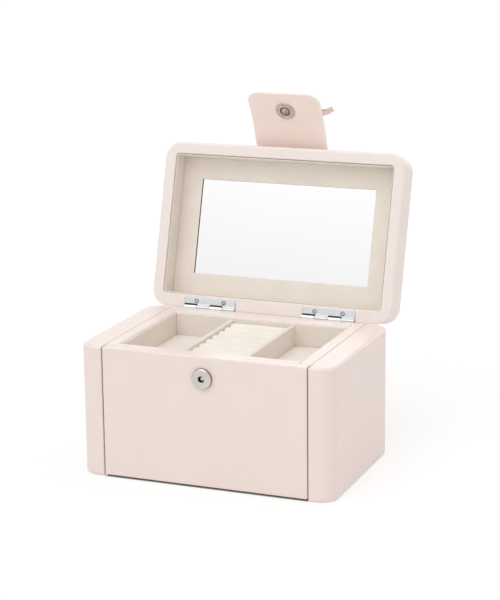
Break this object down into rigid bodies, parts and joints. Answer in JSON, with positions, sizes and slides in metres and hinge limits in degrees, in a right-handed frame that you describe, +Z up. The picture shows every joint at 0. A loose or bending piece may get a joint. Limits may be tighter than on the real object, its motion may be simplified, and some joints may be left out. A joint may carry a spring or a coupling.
{
  "type": "vanity box",
  "caption": "Leather-covered vanity box with a mirror in its hinged lid, a lined tray with ring rolls, a deep drawer below and a snap-closing flap.",
  "frame": {"origin": "centre of the body's underside, on the surface it stands on", "axes": "+Z up, +X to the right seen from the front, -Y out of the front"},
  "size_m": [0.23, 0.2214, 0.3093],
  "materials": {
    "board_in_blush_leather": "board wrapped in smooth pale blush leather, satin",
    "flap_leather": "stiff two-layer leather, fine grain, painted edges",
    "ribbon": "folded blush ribbon",
    "lining_cream": "card covered in short-napped cream lining",
    "board_in_cream_lining": "board covered in short-napped cream lining",
    "ring_velvet": "foam roll covered in cream velvet",
    "bare_board": "plain fibreboard",
    "felt": "dark felt",
    "hinge_nickel": "bright nickel plate",
    "snap_nickel": "satin nickel plate",
    "magnet": "dark sintered magnet",
    "mirror_glass": "clear silvered glass"
  },
  "bodies": {
    "body": {"base_felt": "felt", "bottom_board": "board_in_blush_leather", "left_cheek": "board_in_blush_leather", "right_cheek": "board_in_blush_leather", "left_side_board": "board_in_blush_leather", "right_side_board": "board_in_blush_leather", "back_panel": "board_in_blush_leather", "tray_board": "bare_board", "front_rail": "board_in_blush_leather", "hinge_rail": "board_in_blush_leather", "tray_lining_left": "lining_cream", "tray_lining_right": "lining_cream", "tray_lining_front": "lining_cream", "tray_lining_rear": "lining_cream", "left_divider": "board_in_cream_lining", "right_divider": "board_in_cream_lining", "left_floor_pad": "lining_cream", "right_floor_pad": "lining_cream", "ring_base": "ring_velvet", "ring_rolls": "ring_velvet", "left_hinge_body_leaf": "hinge_nickel", "right_hinge_body_leaf": "hinge_nickel", "hinge_pins": "hinge_nickel", "hinge_screws_body": "hinge_nickel"},
    "lid": {"lid_frame": "board_in_blush_leather", "lid_top": "board_in_blush_leather", "lid_lining": "lining_cream", "mirror_spacer": "bare_board", "mirror": "mirror_glass", "mirror_mat": "lining_cream", "left_hinge_lid_leaf": "hinge_nickel", "right_hinge_lid_leaf": "hinge_nickel", "hinge_screws_lid": "hinge_nickel", "flap_root": "flap_leather"},
    "flap": {"flap_panel": "flap_leather", "snap_stud": "snap_nickel", "bow_loops": "ribbon", "bow_wrap": "ribbon"},
    "drawer": {"drawer_front": "board_in_blush_leather", "drawer_inner_front": "board_in_cream_lining", "drawer_left_side": "board_in_cream_lining", "drawer_right_side": "board_in_cream_lining", "drawer_back": "board_in_cream_lining", "drawer_floor": "bare_board", "drawer_pad": "lining_cream", "snap_socket": "snap_nickel", "snap_magnet": "magnet", "snap_rivet": "snap_nickel"}
  },
  "joints": [
    {"name": "lid_hinge", "type": "hinge", "parent": "body", "child": "lid", "pos_m": [0, 0.0756, 0.1152], "axis": [1, 0, 0], "range_deg": [0, 106.5]},
    {"name": "flap_hinge", "type": "hinge", "parent": "lid", "child": "flap", "pos_m": [0, 0.13989, 0.25479], "axis": [1, 0, 0], "range_deg": [-100, 43.5]},
    {"name": "drawer_slide", "type": "slide", "parent": "body", "child": "drawer", "axis": [0, -1, 0], "range_m": [0, 0.1]}
  ]
}
